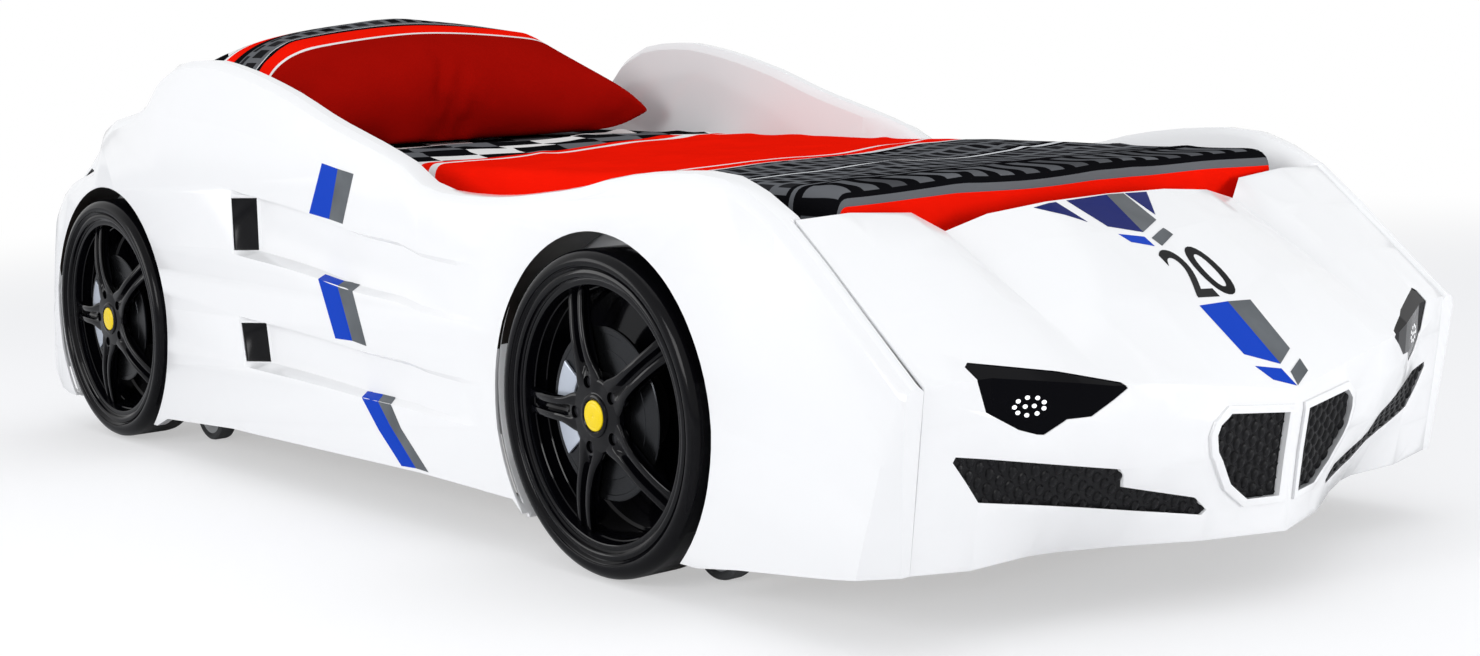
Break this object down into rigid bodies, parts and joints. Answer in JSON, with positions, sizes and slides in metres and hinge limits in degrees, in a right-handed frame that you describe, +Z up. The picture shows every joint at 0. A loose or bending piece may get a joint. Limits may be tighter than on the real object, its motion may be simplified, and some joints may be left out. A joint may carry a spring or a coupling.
{
  "type": "car bed for children",
  "caption": "Single bed for a child shaped like a sports car: moulded sides, hood and tail around a slatted base, dummy wheels, castors, mattress, cover and pillow.",
  "frame": {"origin": "on the floor, under the centre of the bed's bounding box", "axes": "+Z up, the car's nose points to -Y, X runs across the bed; left is -X and right is +X, as seen by someone who stands at the nose and looks towards the tail"},
  "size_m": [1.048, 2.4259, 0.7252],
  "materials": {
    "body_plastic": "gloss white vacuum-formed sheet",
    "board": "white laminated board",
    "timber": "planed pine",
    "tyre_plastic": "gloss black",
    "rim_plastic": "gloss black",
    "cap_plastic": "plain yellow",
    "disc_plastic": "satin silver",
    "spacer": "black stained",
    "steel": "zinc plated",
    "castor_rubber": "matt",
    "grille_plastic": "satin black",
    "lens_plastic": "gloss black",
    "led": "clear white",
    "bedding": "printed cotton"
  },
  "bodies": {
    "bed": {"left_side_skin": "body_plastic", "right_side_skin": "body_plastic", "hood_and_bumper_skin": "body_plastic", "tail_skin": "body_plastic", "left_side_board": "board", "right_side_board": "board", "foot_board": "board", "head_board": "board", "left_ledger": "timber", "right_ledger": "timber", "centre_beam": "timber", "front_castor_bearer": "timber", "rear_castor_bearer": "timber", "slats": "timber", "corner_blocks": "timber", "front_left_tyre": "tyre_plastic", "front_right_tyre": "tyre_plastic", "rear_left_tyre": "tyre_plastic", "rear_right_tyre": "tyre_plastic", "front_left_rim": "rim_plastic", "front_right_rim": "rim_plastic", "rear_left_rim": "rim_plastic", "rear_right_rim": "rim_plastic", "front_left_centre_cap": "cap_plastic", "front_right_centre_cap": "cap_plastic", "rear_left_centre_cap": "cap_plastic", "rear_right_centre_cap": "cap_plastic", "front_left_brake_disc": "disc_plastic", "front_right_brake_disc": "disc_plastic", "rear_left_brake_disc": "disc_plastic", "rear_right_brake_disc": "disc_plastic", "wheel_spacers": "spacer", "wheel_bolts": "steel", "castor_screws": "steel", "panel_screws": "steel", "castor_forks": "steel", "castor_axles": "steel", "left_lower_grille": "grille_plastic", "right_lower_grille": "grille_plastic", "left_centre_grille": "grille_plastic", "right_centre_grille": "grille_plastic", "left_lower_vent": "grille_plastic", "right_lower_vent": "grille_plastic", "left_upper_vent": "grille_plastic", "right_upper_vent": "grille_plastic", "left_headlight_lens": "lens_plastic", "right_headlight_lens": "lens_plastic", "left_headlight_leds": "led", "right_headlight_leds": "led", "mattress": "bedding", "bed_cover": "bedding", "pillow": "bedding"},
    "front_left_castor": {"front_left_castor_wheel": "castor_rubber"},
    "front_right_castor": {"front_right_castor_wheel": "castor_rubber"},
    "rear_left_castor": {"rear_left_castor_wheel": "castor_rubber"},
    "rear_right_castor": {"rear_right_castor_wheel": "castor_rubber"}
  },
  "joints": [
    {"name": "front_left_castor_roll", "type": "hinge", "parent": "bed", "child": "front_left_castor", "pos_m": [-0.398, -0.63, 0.05], "axis": [1, 0, 0], "continuous": true},
    {"name": "front_right_castor_roll", "type": "hinge", "parent": "bed", "child": "front_right_castor", "pos_m": [0.398, -0.63, 0.05], "axis": [1, 0, 0], "continuous": true},
    {"name": "rear_left_castor_roll", "type": "hinge", "parent": "bed", "child": "rear_left_castor", "pos_m": [-0.398, 0.795, 0.05], "axis": [1, 0, 0], "continuous": true},
    {"name": "rear_right_castor_roll", "type": "hinge", "parent": "bed", "child": "rear_right_castor", "pos_m": [0.398, 0.795, 0.05], "axis": [1, 0, 0], "continuous": true}
  ]
}
